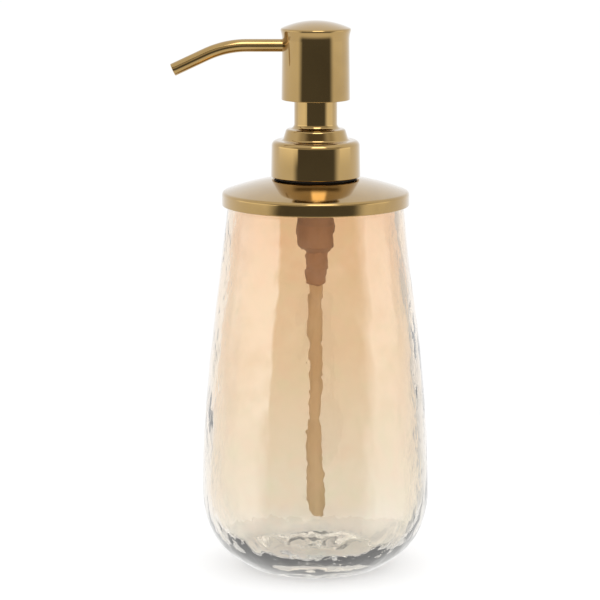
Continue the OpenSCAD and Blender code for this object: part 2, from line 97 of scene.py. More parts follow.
class Value:
    """A socket that takes part in sums; every sum adds a Math node to its sheet."""

    def __init__(self, sheet: "Sheet", socket: bpy.types.NodeSocket) -> None:
        """Keeps the socket and the sheet it lies on."""
        self.sheet = sheet
        self.socket = socket

    def maths(self, operation: str, *terms: Any) -> "Value":
        """Adds one Math node.

        Args:
            operation: Blender's name for the sum.
            terms: Numbers or Values, in the node's order.

        Returns:
            The node's result.
        """
        return self.sheet.add("ShaderNodeMath", {"operation": operation}, dict(enumerate(terms)))

    def __add__(self, other: Any) -> "Value":
        """self + other."""
        return self.maths("ADD", self, other)

    def __radd__(self, other: Any) -> "Value":
        """other + self."""
        return self.maths("ADD", other, self)

    def __sub__(self, other: Any) -> "Value":
        """self - other."""
        return self.maths("SUBTRACT", self, other)

    def __rsub__(self, other: Any) -> "Value":
        """other - self."""
        return self.maths("SUBTRACT", other, self)

    def __mul__(self, other: Any) -> "Value":
        """self * other."""
        return self.maths("MULTIPLY", self, other)

    def __rmul__(self, other: Any) -> "Value":
        """other * self."""
        return self.maths("MULTIPLY", other, self)

    def __truediv__(self, other: Any) -> "Value":
        """self / other."""
        return self.maths("DIVIDE", self, other)

    def step(self, low: float, high: float) -> "Value":
        """0 below low, 1 above high, and an even slope with soft ends between them."""
        settings = {"interpolation_type": "SMOOTHSTEP"}
        sockets = {"Value": self, "From Min": low, "From Max": high}
        return self.sheet.add("ShaderNodeMapRange", settings, sockets)


class Sheet:
    """The node tree of one material or of the world."""

    def __init__(self, tree: bpy.types.NodeTree) -> None:
        """Starts on an empty tree."""
        tree.nodes.clear()
        self.tree = tree

    def add(self, kind: str, settings: dict[str, Any] | None = None, sockets: dict[Any, Any] | None = None,
            output: int | str = 0) -> Value:
        """Adds a node.

        Args:
            kind: The node's type.
            settings: Its properties, set before its sockets; "stops" are a ramp's places and colours.
            sockets: A number, a colour or a Value for each input, by name or number.
            output: The output wanted.

        Returns:
            That output.
        """
        node = self.tree.nodes.new(kind)
        for name, value in (settings or {}).items():
            if name == "stops":
                self._set_stops(node.color_ramp, value)
            else:
                setattr(node, name, value)
        for name, value in (sockets or {}).items():
            if isinstance(value, Value):
                self.tree.links.new(value.socket, node.inputs[name])
            else:
                node.inputs[name].default_value = value
        return Value(self, node.outputs[output]) if len(node.outputs) else Value(self, node.inputs[0])

    @staticmethod
    def _set_stops(ramp: bpy.types.ColorRamp, stops: Sequence[tuple[float, Colour]]) -> None:
        """Replaces a ramp's stops."""
        while len(ramp.elements) > 1:
            ramp.elements.remove(ramp.elements[-1])
        for number, (place, colour) in enumerate(stops):
            element = ramp.elements[0] if number == 0 else ramp.elements.new(place)
            element.position = place
            element.color = (*colour, 1.0)
        ramp.interpolation = "EASE" if len(stops) < FEW_STOPS else "LINEAR"

    def ramp(self, factor: Any, stops: Sequence[tuple[float, Colour]]) -> Value:
        """A colour that runs through the stops."""
        return self.add("ShaderNodeValToRGB", {"stops": stops}, {"Fac": factor}, "Color")

    def mix(self, factor: Any, first: Any, second: Any, blend: str = "MIX") -> Value:
        """Blends two colours."""
        settings = {"data_type": "RGBA", "blend_type": blend}
        colours = [(*c, 1.0) if isinstance(c, tuple) else c for c in (first, second)]
        return self.add("ShaderNodeMix", settings, {0: factor, 6: colours[0], 7: colours[1]}, 2)

    def place(self, scale: Colour = (1.0, 1.0, 1.0), offset: Colour = (0.0, 0.0, 0.0)) -> Value:
        """Object coordinates, scaled and moved."""
        here = self.add("ShaderNodeTexCoord", output="Object")
        return self.add("ShaderNodeMapping", None, {"Vector": here, "Scale": scale, "Location": offset})

    def noise(self, size_mm: float, detail: float = 2.0, stretch: Colour = (1.0, 1.0, 1.0),
              warp: float = 0.0) -> Value:
        """Soft noise whose patches are about size_mm wide."""
        sockets = {"Vector": self.place(stretch), "Scale": 1.0 / (size_mm * MM), "Detail": detail,
                   "Distortion": warp}
        return self.add("ShaderNodeTexNoise", None, sockets, "Fac")

    def height(self) -> Value:
        """Height above the floor, in millimetres."""
        here = self.add("ShaderNodeTexCoord", output="Object")
        return self.add("ShaderNodeSeparateXYZ", None, {0: here}, "Z") * (1 / MM)

    def bump(self, height: Value, depth_mm: float, strength: float = 1.0) -> Value:
        """A normal bent by a height pattern."""
        sockets = {"Strength": strength, "Distance": depth_mm * MM, "Height": height}
        return self.add("ShaderNodeBump", None, sockets)


# ---------------------------------------------------------------------------------------------
# Finishes
# ---------------------------------------------------------------------------------------------


@dataclass(frozen=True)
class Finish:
    """What every finish has: a name and a way to make its material."""

    name: str

    def paint(self, sheet: Sheet) -> dict[str, Any]:
        """Returns the Principled sockets of this finish."""
        raise NotImplementedError

    def material(self) -> bpy.types.Material:
        """Makes the material, or returns the one made before."""
        title = f"{self.name}_finish"
        made = bpy.data.materials.get(title)
        if made is None:
            made = bpy.data.materials.new(title)
            made.use_nodes = True
            sheet = Sheet(made.node_tree)
            surface = sheet.add("ShaderNodeBsdfPrincipled", None, self.paint(sheet))
            sheet.add("ShaderNodeOutputMaterial", None, {"Surface": surface})
        return made


@dataclass(frozen=True)
class BrassFinish(Finish):
    """Lacquered brass: satin to polished, with faint handling marks and fine hairlines."""

    colour: Colour = (0.455, 0.295, 0.10)
    dull: Colour = (0.40, 0.255, 0.083)
    gloss: float = 0.035
    hairlines: bool = True

    def paint(self, sheet: Sheet) -> dict[str, Any]:
        """Polish that varies a little over the surface."""
        cloud = sheet.noise(14, 3.0, warp=0.4)
        smear = sheet.noise(5, 4.0, stretch=(1.0, 1.0, 0.35), warp=0.8)
        rough = self.gloss + smear.step(0.52, 0.75) * 0.03
        sockets = {
            "Base Color": sheet.mix(cloud.step(0.35, 0.75), self.colour, self.dull),
            "Metallic": 1.0,
            "Roughness": rough,
            "Coat Weight": 0.8,
            "Coat IOR": 1.5,
            "Coat Roughness": 0.03,
        }
        if self.hairlines:
            hairline = sheet.noise(0.5, 1.0, stretch=(1.0, 1.0, 0.03))
            sockets |= {"Roughness": rough + hairline * 0.02, "Normal": sheet.bump(hairline, 0.001)}
        return sockets


@dataclass(frozen=True)
class GlassFinish(Finish):
    """Glass that runs from nearly clear at the foot to darker amber at the shoulder."""

    clear: Colour = (0.93, 0.905, 0.85)
    pale: Colour = (0.925, 0.875, 0.78)
    honey: Colour = (0.92, 0.825, 0.69)
    amber: Colour = (0.91, 0.755, 0.575)
    deep: Colour = (0.90, 0.70, 0.50)
    lustre: float = 0.0
    film_ior: float = 1.9
    ripple_mm: float = 0.075

    def paint(self, sheet: Sheet) -> dict[str, Any]:
        """Colour that darkens with height, with a cloudy border, and pearly patches where it fades."""
        level = sheet.height() + (sheet.noise(19, 1.0) - 0.5) * 14
        height_colour = sheet.ramp(level / 130, [(0.06, self.clear), (0.13, self.pale), (0.25, self.honey),
                                        (0.64, self.amber), (0.98, self.deep)])
        pearl = sheet.ramp(sheet.noise(11, 2.0, warp=1.2), [(0.3, (1.0, 0.955, 0.95)), (0.5, (1.0, 1.0, 1.0)),
                                                            (0.7, (0.955, 1.0, 0.965))])
        ripple = sheet.noise(2.6, 1.0, stretch=(1.0, 1.0, 0.7))
        sockets = {
            "Base Color": sheet.mix(0.6, height_colour, sheet.mix(1.0, height_colour, pearl, "MULTIPLY")),
            "Roughness": 0.0,
            "IOR": 1.5,
            "Transmission Weight": 1.0,
            "Normal": sheet.bump(ripple, self.ripple_mm),
        }
        if self.lustre > 0:
            sockets |= {"Coat Weight": self.lustre, "Coat IOR": self.film_ior, "Coat Roughness": 0.02}
        return sockets


@dataclass(frozen=True)
class PlasticFinish(Finish):
    """Moulded plastic with a fine grain and slight flow marks."""

    colour: Colour = (0.86, 0.85, 0.81)
    shade: Colour = (0.80, 0.78, 0.73)
    gloss: float = 0.34
    grain_mm: float = 0.5
    gleam: float = 0.5

    def paint(self, sheet: Sheet) -> dict[str, Any]:
        """Flow marks in the colour, grain in the polish and the normal."""
        flow = sheet.noise(6, 3.0, stretch=(1.0, 1.0, 0.3), warp=0.5)
        grain = sheet.noise(self.grain_mm, 2.0)
        return {
            "Base Color": sheet.mix(flow.step(0.35, 0.7), self.colour, self.shade),
            "Roughness": self.gloss + grain * 0.1,
            "Normal": sheet.bump(grain, 0.006),
            "Specular IOR Level": self.gleam,
        }


@dataclass(frozen=True)
class SteelFinish(Finish):
    """Drawn and ground steel."""

    colour: Colour = (0.58, 0.58, 0.59)
    gloss: float = 0.22

    def paint(self, sheet: Sheet) -> dict[str, Any]:
        """Grey metal with fine drawing marks."""
        marks = sheet.noise(0.3, 2.0, stretch=(1.0, 1.0, 0.2))
        return {
            "Base Color": sheet.mix(marks, self.colour, (0.46, 0.46, 0.47)),
            "Metallic": 1.0,
            "Roughness": self.gloss + marks * 0.1,
        }


@dataclass(frozen=True)
class FloorFinish(Finish):
    """Matt white paper that glows like a light table, a painted light that fills its shadows."""

    def paint(self, sheet: Sheet) -> dict[str, Any]:
        """White, with the slightest unevenness, and a painted glow: brighter for camera rays and away from
        the foot, weaker under the bottle.
        """
        camera_glow_mask = Value(sheet, sheet.add("ShaderNodeLightPath").socket.node.outputs["Is Camera Ray"])
        here = sheet.add("ShaderNodeTexCoord", output="Object")
        away = sheet.add("ShaderNodeVectorMath", {"operation": "LENGTH"}, {0: here}, "Value") * (1 / MM)
        return {
            "Base Color": sheet.mix(sheet.noise(60), (0.59, 0.59, 0.59), (0.575, 0.575, 0.575)),
            "Roughness": 0.9,
            "Specular IOR Level": 0.1,
            # Painted light: the paper glows 0.2 everywhere, 0.2 more from 13 to 30 mm out and 0.1 more for
            # camera rays, filling the shadows round the foot.
            "Emission Color": camera_glow_mask * 0.1 + away.step(13, 30) * 0.2 + 0.2,
            "Emission Strength": 1.0,
        }


BRASS = BrassFinish("brass")
BRASS_PLATE = BrassFinish("brass_plate", gloss=0.12)
BRASS_TUBE = BrassFinish("brass_tube", gloss=0.12, hairlines=False)
OUTER_GLASS = GlassFinish("lustre_glass", lustre=1.0)
INNER_GLASS = GlassFinish("inner_glass")
# Barrel and suction tube are one natural plastic in a shaded and a lit copy: the barrel's darker, browner
# colour is painted shade for its place under the lid, the tube's lighter colour is the lit copy.
NATURAL = PlasticFinish("natural_plastic", colour=(0.62, 0.37, 0.20), shade=(0.54, 0.31, 0.16), gleam=0.1)
TUBE = PlasticFinish("tube_plastic", colour=(0.90, 0.70, 0.46), shade=(0.84, 0.64, 0.40), gloss=0.4,
                     gleam=0.1)
WHITE = PlasticFinish("white_plastic")
# The dark plastic goes on the closure under the cap: painted shade, a dark part standing for the shadow in
# the gap between cap and lid.
DARK = PlasticFinish("dark_plastic", colour=(0.05, 0.04, 0.03), shade=(0.04, 0.032, 0.025), gloss=0.5)
SEAL = PlasticFinish("soft_seal", colour=(0.80, 0.79, 0.76), shade=(0.74, 0.73, 0.70), gloss=0.6,
                     grain_mm=0.9)
RUBBER = PlasticFinish("piston_rubber", colour=(0.05, 0.05, 0.055), shade=(0.035, 0.035, 0.04), gloss=0.5)
STEEL = SteelFinish("steel")
FLOOR = FloorFinish("glowing_floor_paper")

NODE_FINISH = {Slot.GLASS: OUTER_GLASS, Slot.BRASS: BRASS, Slot.NATURAL: NATURAL, Slot.WHITE: WHITE,
               Slot.DARK: DARK, Slot.SEAL: SEAL, Slot.RUBBER: RUBBER, Slot.STEEL: STEEL}


# ---------------------------------------------------------------------------------------------
# Outlines, in millimetres
# ---------------------------------------------------------------------------------------------


def low(node: str) -> float:
    """Lowest level of a CAD node, in millimetres."""
    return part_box(node)[0].z / MM


def high(node: str) -> float:
    """Highest level of a CAD node, in millimetres."""
    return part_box(node)[1].z / MM


def widest(node: str) -> float:
    """Largest radius of a CAD node that is turned about the axis, in millimetres."""
    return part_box(node)[1].x / MM


def cubic(a: Point, b: Point, c: Point, d: Point, count: int) -> list[Point]:
    """Points along a cubic curve.

    Args:
        a: Where it starts.
        b: Its first handle.
        c: Its second handle.
        d: Where it ends.
        count: Number of steps.

    Returns:
        count + 1 points.
    """
    points = []
    for number in range(count + 1):
        t = number / count
        s = 1 - t
        weights = (s ** 3, 3 * s * s * t, 3 * s * t * t, t ** 3)
        points.append(tuple(sum(w * p[axis] for w, p in zip(weights, (a, b, c, d))) for axis in (0, 1)))
    return points


def arc(centre: Point, radius: float, start: float, end: float, count: int) -> list[Point]:
    """Points along an arc between two angles in radians."""
    angles = [start + (end - start) * number / count for number in range(count + 1)]
    return [(centre[0] + radius * math.cos(a), centre[1] + radius * math.sin(a)) for a in angles]


def rounded(corners: Sequence[Corner], per_arc: int = 8) -> list[Point]:
    """Rounds the corners of an outline.

    Args:
        corners: Radius, height and rounding of each corner. The first and the last stay sharp.
        per_arc: Steps in each rounding.

    Returns:
        The outline's points.
    """
    points: list[Point] = []
    for number, (x, z, rounding) in enumerate(corners):
        if rounding == 0 or number in (0, len(corners) - 1):
            points.append((x, z))
            continue
        here = Vector((x, z))
        before = (Vector(corners[number - 1][:2]) - here).normalized()
        after = (Vector(corners[number + 1][:2]) - here).normalized()
        half = before.angle(after) / 2
        centre = here + (before + after).normalized() * rounding / math.sin(half)
        start = here + before * rounding / math.tan(half) - centre
        turn = math.pi - 2 * half
        if before.x * after.y - before.y * after.x > 0:
            turn = -turn
        for step in range(per_arc + 1):
            a = turn * step / per_arc
            points.append((centre.x + start.x * math.cos(a) - start.y * math.sin(a),
                           centre.y + start.x * math.sin(a) + start.y * math.cos(a)))
    return points


@dataclass(frozen=True)
class DomedTop:
    """A shallow dome with a rounded edge, as an outline from its axis to its side."""

    radius: float
    top: float
    rise: float
    edge_round: float

    def outline(self, depth: float = 0.0, steps: int = 24) -> list[Point]:
        """Points from the axis outwards, ending where the side begins.

        Args:
            depth: How far inside the outer face, as on the underside of a sheet.
            steps: Steps along the dome.

        Returns:
            The outline's points.
        """
        sphere = (self.radius ** 2 + self.rise ** 2) / (2 * self.rise)
        centre_z = self.top - sphere
        edge_x = self.radius - self.edge_round
        edge_z = centre_z + math.sqrt((sphere - self.edge_round) ** 2 - edge_x ** 2)
        lean = math.atan2(edge_z - centre_z, edge_x)
        dome = arc((0, centre_z), sphere - depth, math.pi / 2, lean, steps)
        return dome + arc((edge_x, edge_z), self.edge_round - depth, lean, 0, 10)[1:]


# ---------------------------------------------------------------------------------------------
# Workshop: how a piece is made
# ---------------------------------------------------------------------------------------------


def nothing_selected() -> None:
    """Leaves edit mode and deselects every object."""
    if bpy.context.mode != "OBJECT":
        bpy.ops.object.mode_set(mode="OBJECT")
    bpy.ops.object.select_all(action="DESELECT")


def settle(piece: bpy.types.Object) -> None:
    """Puts a piece's place and turn into its mesh."""
    nothing_selected()
    piece.select_set(True)
    bpy.context.view_layer.objects.active = piece
    bpy.ops.object.transform_apply(location=True, rotation=True, scale=True)


def edit(piece: bpy.types.Object) -> None:
    """Opens a piece in edit mode with all of it selected."""
    nothing_selected()
    piece.select_set(True)
    bpy.context.view_layer.objects.active = piece
    bpy.ops.object.mode_set(mode="EDIT")
    bpy.ops.mesh.select_all(action="SELECT")


def modify(piece: bpy.types.Object, kind: str, **settings: Any) -> None:
    """Adds a modifier with its settings and applies it."""
    nothing_selected()
    piece.select_set(True)
    bpy.context.view_layer.objects.active = piece
    bpy.ops.object.modifier_add(type=kind)
    modifier = piece.modifiers[-1]
    for name, value in settings.items():
        setattr(modifier, name, value)
    bpy.ops.object.modifier_apply(modifier=modifier.name)


def close_up(piece: bpy.types.Object) -> None:
    """Merges doubled points and turns every face outwards."""
    edit(piece)
    bpy.ops.mesh.remove_doubles(threshold=0.002 * MM)
    bpy.ops.mesh.normals_make_consistent(inside=False)
    bpy.ops.object.mode_set(mode="OBJECT")


def smooth(piece: bpy.types.Object, degrees: float = 40.0) -> None:
    """Smooth shading that keeps edges sharper than the given angle."""
    nothing_selected()
    piece.select_set(True)
    bpy.context.view_layer.objects.active = piece
    bpy.ops.object.shade_smooth_by_angle(angle=math.radians(degrees))


def turned(name: str, outline: Sequence[Point], steps: int) -> bpy.types.Object:
    """Turns an outline about the pump's axis.

    Args:
        name: The new piece's name.
        outline: Radius and height of each point. It is closed, or starts and ends on the axis.
        steps: Number of steps round the axis.

    Returns:
        A closed piece with its faces outwards.
    """
    nothing_selected()
    first = outline[0]
    bpy.ops.mesh.primitive_plane_add(size=MM, location=(first[0] * MM, 0, first[1] * MM))
    piece = bpy.context.object
    piece.name = piece.data.name = name
    settle(piece)
    edit(piece)
    bpy.ops.mesh.merge(type="CENTER")
    for a, b in zip(outline, outline[1:]):
        shift = ((b[0] - a[0]) * MM, 0, (b[1] - a[1]) * MM)
        bpy.ops.mesh.extrude_region_move(TRANSFORM_OT_translate={"value": shift})
    bpy.ops.mesh.select_all(action="SELECT")
    bpy.ops.mesh.spin(steps=steps, angle=FULL_TURN, center=(0, 0, 0), axis=(0, 0, 1))
    close_up(piece)
    smooth(piece)
    return piece


def joined(name: str, parts: Sequence[bpy.types.Object]) -> bpy.types.Object:
    """Joins parts into one piece."""
    nothing_selected()
    for part in parts:
        part.select_set(True)
    bpy.context.view_layer.objects.active = parts[0]
    bpy.ops.object.join()
    piece = bpy.context.object
    piece.name = piece.data.name = name
    return piece


def fit(piece: bpy.types.Object, body: Body, slot: Slot, finishes: Iterable[Finish], *nodes: str) -> None:
    """Gives a piece its body and finishes, and hides the CAD nodes it stands for."""
    piece.data.materials.clear()
    for finish in finishes:
        piece.data.materials.append(finish.material())
    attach(piece, body.value)
    if nodes:
        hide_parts(*nodes)
    piece.data.calc_loop_triangles()
    log.info("%s: %d triangles, rides on %s", piece.name, len(piece.data.loop_triangles), body.value)


# ---------------------------------------------------------------------------------------------
# Sub-assemblies
# ---------------------------------------------------------------------------------------------


@dataclass
class HammerMark:
    """One layer of dents that the maker's tools leave in the glass."""

    name: str
    size: float
    depth: float
    stretch: float
    group: str
    detail: int = 1


@dataclass
class Vessel:
    """The hammered glass bottle."""

    foot_r: float = 22.4
    belly_r: float = 39.4
    belly_z: float = 28.0
    lip_r: float = 30.3
    lip_band: float = 3.0
    flank_share: float = 0.35
    wall: float = 3.0
    base: float = 6.0
    floor_r: float = 17.0
    floor_handle: float = 12.0
    floor_share: float = 0.32
    punt: float = 1.1
    lip_round: float = 1.1
    steps: int = 250
    marks: tuple[HammerMark, ...] = (
        HammerMark("broad_dents", 15.0, 0.60, 2.4, "outside"),
        HammerMark("dents", 6.0, 0.20, 1.5, "outside"),
        HammerMark("inner_waves", 10.0, 0.30, 2.0, "inside"),
        HammerMark("floor_swirl", 7.0, 1.1, 0.7, "floor", 2),
    )

    def outside(self) -> list[Point]:
        """Outer face, from the middle of the underside up to the lip."""
        height = high("bottle")
        band = height - self.lip_band
        under = cubic((0, self.punt), (9, self.punt), (self.foot_r - 8, 0.25), (self.foot_r - 2.2, 0), 16)
        foot = cubic((self.foot_r - 2.2, 0), (self.foot_r - 1, 0), (self.foot_r + 0.6, 0.15),
                     (self.foot_r + 1.6, 0.88), 5)
        start = self._on_foot(self.foot_r + 1.6)
        lower = [p for p in self._lower() if p[1] > start[1] + 0.25]
        flank = cubic((self.belly_r, self.belly_z), (self.belly_r, self._flank_handle(band)),
                      (self.lip_r + 1.8, band - 21), (self.lip_r, band), 76)
        return under + foot[1:-1] + [start] + lower + flank[1:]

    def _lower(self) -> list[Point]:
        """Outer face between the foot and the belly."""
        return cubic((self.foot_r, 0), (self.foot_r + 9.5, 5.2), (self.belly_r, self.belly_z * 0.4),
                     (self.belly_r, self.belly_z), 34)

    def _flank_handle(self, band: float) -> float:
        """Level of the handle that leads the flank up from the belly."""
        return self.belly_z + self.flank_share * (band - self.belly_z)

    def _on_foot(self, radius: float) -> Point:
        """The point of the lower curve at a radius."""
        return min(self._lower(), key=lambda p: abs(p[0] - radius))

    def inside(self) -> list[Point]:
        """Inner face, from the lip down to the middle of the floor."""
        band = high("bottle") - self.lip_band
        r, mouth = self.belly_r - self.wall, self.lip_r - self.wall
        flank = cubic((mouth, band), (mouth + 1.8, band - 21), (r, self._flank_handle(band)),
                      (r, self.belly_z), 60)
        bowl = cubic((r, self.belly_z), (r, self.base + self.floor_share * (self.belly_z - self.base)),
                     (self.floor_r + self.floor_handle, self.base), (self.floor_r, self.base), 34)
        return flank + bowl[1:] + [(self.floor_r * k / 8, self.base) for k in range(7, -1, -1)]

    def build(self) -> bpy.types.Object:
        """Turns the vessel and beats the marks into it."""
        top = high("bottle")
        lip = rounded([(self.lip_r, top - self.lip_band, 0), (self.lip_r, top, self.lip_round),
                       (self.lip_r - self.wall, top, self.lip_round),
                       (self.lip_r - self.wall, top - self.lip_band, 0)], 6)
        outline = self.outside() + lip[1:-1] + self.inside()
        piece = turned("glass_vessel", outline, self.steps)
        self._mark_regions(piece)
        for mark in self.marks:
            self._beat(piece, mark)
        nothing_selected()
        piece.select_set(True)
        bpy.context.view_layer.objects.active = piece
        bpy.ops.object.shade_smooth()
        piece.vertex_groups.clear()
        return piece

    def _mark_regions(self, piece: bpy.types.Object) -> None:
        """Weighs every point by how freely the marks may move it, and splits inner from outer faces."""
        top = high("bottle")
        groups = {name: piece.vertex_groups.new(name=name) for name in ("outside", "inside", "floor")}
        inner: set[int] = set()
        for vertex in piece.data.vertices:
            r, z = math.hypot(vertex.co.x, vertex.co.y) / MM, vertex.co.z / MM
            is_inner = self._is_inner(r, z, top)
            if is_inner:
                inner.add(vertex.index)
            fade_top = min(1.0, max(0.0, (top - 3.5 - z) / 9))
            fade_foot = min(1.0, max(0.0, (z - 1.0) / 7))
            if is_inner:
                groups["inside"].add([vertex.index], fade_top, "REPLACE")
                on_floor = min(1.0, max(0.0, (26 - z) / 14))
                groups["floor"].add([vertex.index], on_floor * 0.8, "REPLACE")
            else:
                groups["outside"].add([vertex.index], fade_top * fade_foot, "REPLACE")
                near_foot = min(1.0, max(0.0, (z - 1.0) / 5)) * min(1.0, max(0.0, (20 - z) / 8))
                groups["floor"].add([vertex.index], near_foot * 0.4, "REPLACE")
        for face in piece.data.polygons:
            face.material_index = int(all(v in inner for v in face.vertices))

    def _is_inner(self, r: float, z: float, top: float) -> bool:
        """True for a point of the inner face."""
        if z < self.base - 0.5:
            return False
        if z > top - self.lip_band:
            return r < self.lip_r - self.wall / 2
        outer = [p for p in self._outer_cache() if p[1] >= z]
        return r < (outer[0][0] if outer else self.lip_r) - self.wall / 2

    def _outer_cache(self) -> list[Point]:
        """The outer face's points in rising order, worked out once."""
        if not hasattr(self, "_outer"):
            self._outer = sorted(self.outside(), key=lambda p: p[1])
        return self._outer

    def _beat(self, piece: bpy.types.Object, mark: HammerMark) -> None:
        """Presses one layer of marks into the glass."""
        bpy.ops.object.empty_add(location=(0.013, 0.007, 0.0))
        ruler = bpy.context.object
        ruler.scale = (1, 1, mark.stretch)
        bpy.context.view_layer.update()
        pattern = bpy.data.textures.new(mark.name, "CLOUDS")
        pattern.noise_scale = mark.size * MM
        pattern.noise_depth = mark.detail
        modify(piece, "DISPLACE", texture=pattern, texture_coords="OBJECT", texture_coords_object=ruler,
               strength=mark.depth * MM, mid_level=0.55, vertex_group=mark.group, direction="NORMAL")
        bpy.data.objects.remove(ruler)
        bpy.data.textures.remove(pattern)

    def dress(self) -> None:
        """Builds the vessel and gives it its glass."""
        piece = self.build()
        indices = [face.material_index for face in piece.data.polygons]
        fit(piece, Body.BOTTLE, Slot.GLASS, (OUTER_GLASS, INNER_GLASS), "bottle")
        piece.data.polygons.foreach_set("material_index", indices)


@dataclass
class Lid:
    """The domed brass plate over the mouth."""

    sheet: float = 0.8
    rise: float = 5.9
    edge_round: float = 1.3
    hole_r: float = 14.0
    hem_round: float = 0.32
    steps: int = 224

    def build(self) -> bpy.types.Object:
        """Turns the plate with a hemmed rim and a rounded hole."""
        radius = widest("lid_plate")
        rim_low = low("lid_plate")
        top = self._top(radius)
        dome = DomedTop(radius, top, self.rise, self.edge_round)
        outer = [p for p in dome.outline(steps=70) if p[0] > self.hole_r + 0.4]
        inner = [p for p in dome.outline(self.sheet, steps=70) if p[0] > self.hole_r + 0.4]
        hem = rounded([(radius, rim_low + 1, 0), (radius, rim_low, self.hem_round),
                       (radius - self.sheet, rim_low, self.hem_round),
                       (radius - self.sheet, rim_low + 1, 0)], 5)
        edge = rounded([(*outer[0], 0), (self.hole_r, outer[0][1] + 0.06, 0.3),
                        (self.hole_r, inner[0][1] + 0.06, 0.3), (*inner[0], 0)], 5)
        loop = outer + hem + inner[::-1] + edge[1:-1][::-1]
        return turned("lid_dome", [*loop, loop[0]], self.steps)

    def _top(self, radius: float) -> float:
        """Level of the dome's missing apex, from the level of the hole's edge."""
        sphere = (radius ** 2 + self.rise ** 2) / (2 * self.rise)
        return high("lid_plate") + sphere - math.sqrt(sphere ** 2 - self.hole_r ** 2)

    def dress(self) -> None:
        """Builds the plate and gives it its brass."""
        fit(self.build(), Body.BOTTLE, Slot.BRASS, (BRASS_PLATE,), "lid_plate")


@dataclass
class ScrewCap:
    """The stepped brass shell of the screw cap."""

    sheet: float = 0.6
    height: float = 12.5
    band_r: float = 11.25
    band_h: float = 3.9
    band_taper: float = 1.2
    sleeve_r: float = 7.35
    flare: float = 0.25
    shoulder_round: float = 1.9
    foot_round: float = 1.1
    band_share: float = 0.4
    sleeve_share: float = 0.65
    steps: int = 192

    def build(self) -> bpy.types.Object:
        """Turns the shell: skirt, shoulder band and sleeve."""
        foot, top = low("cap_shell"), high("cap_shell")
        skirt_r = widest("cap_shell") - self.flare
        bore_r = skirt_r - self.sheet
        ledge, band_top = foot + self.height, foot + self.height + self.band_h
        waist_r = self.band_r - self.band_taper
        t = self.sheet
        flat = waist_r - self.sleeve_r
        outer = rounded([
            (bore_r, foot + 1, 0), (bore_r, foot, 0.25), (skirt_r + self.flare, foot, 0.25),
            (skirt_r, ledge, self.shoulder_round), (self.band_r, ledge, self.foot_round),
            (waist_r, band_top, self.band_share * flat), (self.sleeve_r, band_top, self.sleeve_share * flat),
            (self.sleeve_r, top, 0.22), (self.sleeve_r - t, top, 0.22),
            (self.sleeve_r - t, band_top, 0)], 9)
        inner = [(waist_r - t, band_top - t), (self.band_r - t, ledge - t), (bore_r, ledge - t),
                 (bore_r, foot + 1)]
        under = [(self.sleeve_r - t, band_top - t)]
        return turned("cap_brass", outer + under + inner, self.steps)

    def dress(self) -> None:
        """Builds the shell and gives it its brass."""
        fit(self.build(), Body.CAP, Slot.BRASS, (BRASS,), "cap_shell")


@dataclass
class Head:
    """The brass push head and its spout."""

    waist_taper: float = 0.3
    sheet: float = 0.7
    flare: float = 0.55
    flare_h: float = 3.4
    top_rise: float = 2.7
    top_round: float = 0.75
    spout_d: float = 4.4
    spout_wall: float = 0.6
    spout_in: float = -3.4
    spout_run: float = 23.4
    bend_r: float = 33.0
    bend_degrees: float = 25.0
    spout_tip: float = 12.4
    lip_bead: float = 0.16
    steps: int = 192

    def build_shell(self) -> bpy.types.Object:
        """Turns the head: tapered wall, flared lip, domed top, and its inside."""
        foot, top = low("head_shell"), high("head_shell")
        lip_r = widest("head_shell")
        waist_r = lip_r - self.flare
        foot_r = waist_r + self.waist_taper
        core_r = waist_r - self.sheet
        dome = DomedTop(lip_r, top, self.top_rise, self.top_round)
        crown = dome.outline(steps=26)
        lip_z = crown[-1][1]
        flare = cubic((lip_r, lip_z), (lip_r - 0.02, lip_z - 0.55), (waist_r, lip_z - self.flare_h * 0.45),
                      (waist_r, lip_z - self.flare_h), 12)
        foot_edge = rounded([(waist_r, foot + 2, 0), (foot_r, foot, 0.22), (core_r, foot, 0.22),
                             (core_r, foot + 2, 0)], 5)
        roof = high("head_core")
        loop = crown + flare[1:] + foot_edge[1:-1] + [(core_r, foot + 2), (core_r, roof), (0, roof)]
        return turned("head_brass", loop, self.steps)

    def build_spout(self) -> bpy.types.Object:
        """Draws the spout's tube straight out, round its bend and down to its tip."""
        level = high("spout") - self.spout_d / 2
        nothing_selected()
        bpy.ops.mesh.primitive_circle_add(vertices=56, radius=self.spout_d / 2 * MM,
                                          location=(self.spout_in * MM, 0, level * MM),
                                          rotation=(0, -math.pi / 2, 0))
        piece = bpy.context.object
        piece.name = piece.data.name = "spout_brass"
        settle(piece)
        edit(piece)
        straight = (self.spout_run + self.spout_in) / 10
        for _ in range(10):
            bpy.ops.mesh.extrude_region_move(TRANSFORM_OT_translate={"value": (-straight * MM, 0, 0)})
        bend = math.radians(self.bend_degrees)
        centre = (-self.spout_run * MM, 0, (level - self.bend_r) * MM)
        bpy.ops.mesh.spin(steps=20, angle=bend, center=centre, axis=(0, 1, 0))
        way = (-math.cos(bend), -math.sin(bend))
        lengths = [self.spout_tip / 8] * 7 + [self.spout_tip / 8 - 1.2, 1.2]
        for length in lengths:
            bpy.ops.mesh.extrude_region_move(
                TRANSFORM_OT_translate={"value": (way[0] * length * MM, 0, way[1] * length * MM)})
        close_up(piece)
        modify(piece, "SOLIDIFY", thickness=self.spout_wall * MM, offset=-1.0, use_even_offset=True)
        modify(piece, "BEVEL", width=self.lip_bead * MM, segments=3, limit_method="ANGLE",
               angle_limit=math.radians(50))
        smooth(piece, 50)
        return piece

    def dress(self) -> None:
        """Builds the head's brass pieces and finishes them."""
        fit(self.build_shell(), Body.HEAD, Slot.BRASS, (BRASS,), "head_shell")
        fit(self.build_spout(), Body.HEAD, Slot.BRASS, (BRASS_TUBE,), "spout")


